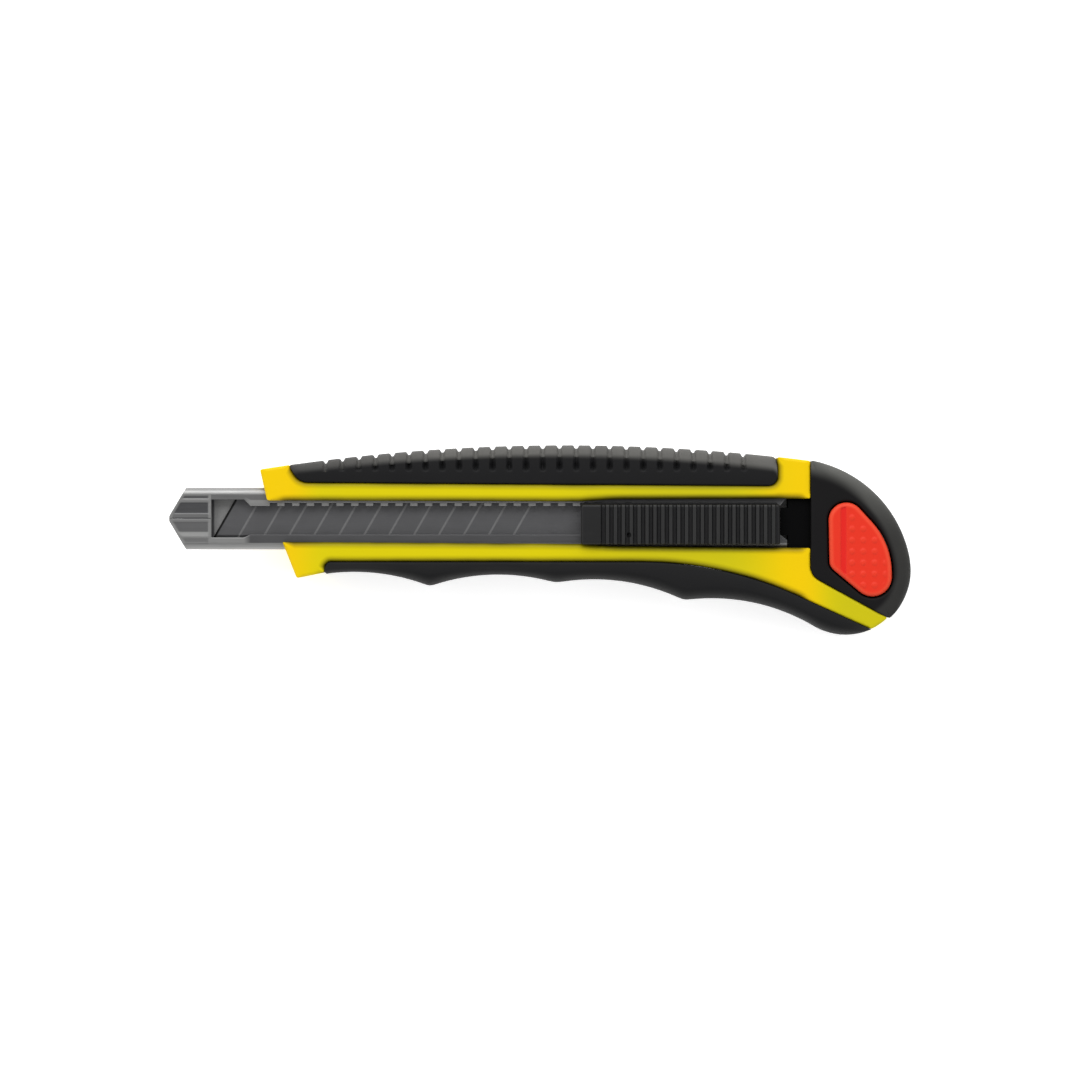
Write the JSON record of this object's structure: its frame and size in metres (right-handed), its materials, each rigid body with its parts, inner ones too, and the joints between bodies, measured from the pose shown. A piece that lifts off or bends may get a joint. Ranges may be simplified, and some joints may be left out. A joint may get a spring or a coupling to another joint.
{
  "type": "snap-off knife",
  "caption": "Utility knife with a snap-off blade in a steel rail, thumb slider with a toothed lock, rubber grips, and an end cap with a release button.",
  "frame": {"origin": "on the back face that the knife lies on, under the middle of its bounding box", "axes": "+X from the nose to the tail, +Y from the finger side to the spine, +Z out of the slider side"},
  "size_m": [0.1486, 0.038, 0.0143],
  "materials": {
    "yellow_abs": "fine moulded ABS, satin",
    "black_rubber": "moulded soft grip, satin",
    "cap_plastic": "soft-touch black over plastic, satin",
    "black_plastic": "moulded black plastic, satin",
    "red_plastic": "moulded red plastic with raised dots",
    "rail_steel": "folded sheet steel, drawn grain along its length",
    "blade_steel": "ground carbon steel with scored snap lines",
    "spring_steel": "bright spring steel"
  },
  "bodies": {
    "handle": {"front_shell": "yellow_abs", "back_shell": "yellow_abs", "spine_grip_front": "black_rubber", "spine_grip_back": "black_rubber", "finger_grip_front": "black_rubber", "finger_grip_back": "black_rubber", "blade_rail": "rail_steel", "body_screws": "spring_steel", "magazine_tray": "black_plastic", "magazine_spring": "spring_steel", "spare_blades": "blade_steel"},
    "slider": {"slider_pad": "black_plastic", "slider_carrier": "black_plastic", "blade_pin": "spring_steel", "lock_spring": "spring_steel", "spring_rivet": "spring_steel", "blade": "blade_steel"},
    "cap": {"end_cap": "cap_plastic", "latch_spring": "spring_steel"},
    "button": {"release_button": "red_plastic"}
  },
  "joints": [
    {"name": "blade_slide", "type": "slide", "parent": "handle", "child": "slider", "axis": [-1, 0, 0], "range_m": [0, 0.0592], "deforming": ["lock_spring"]},
    {"name": "cap_slide", "type": "slide", "parent": "handle", "child": "cap", "axis": [1, 0, 0], "range_m": [0, 0.025], "deforming": ["latch_spring"]},
    {"name": "button_press", "type": "slide", "parent": "cap", "child": "button", "axis": [0, 0, -1], "range_m": [0, 0.0012], "stiffness_N_per_m": 300, "springref_m": -0.002, "deforming": ["latch_spring"]}
  ]
}
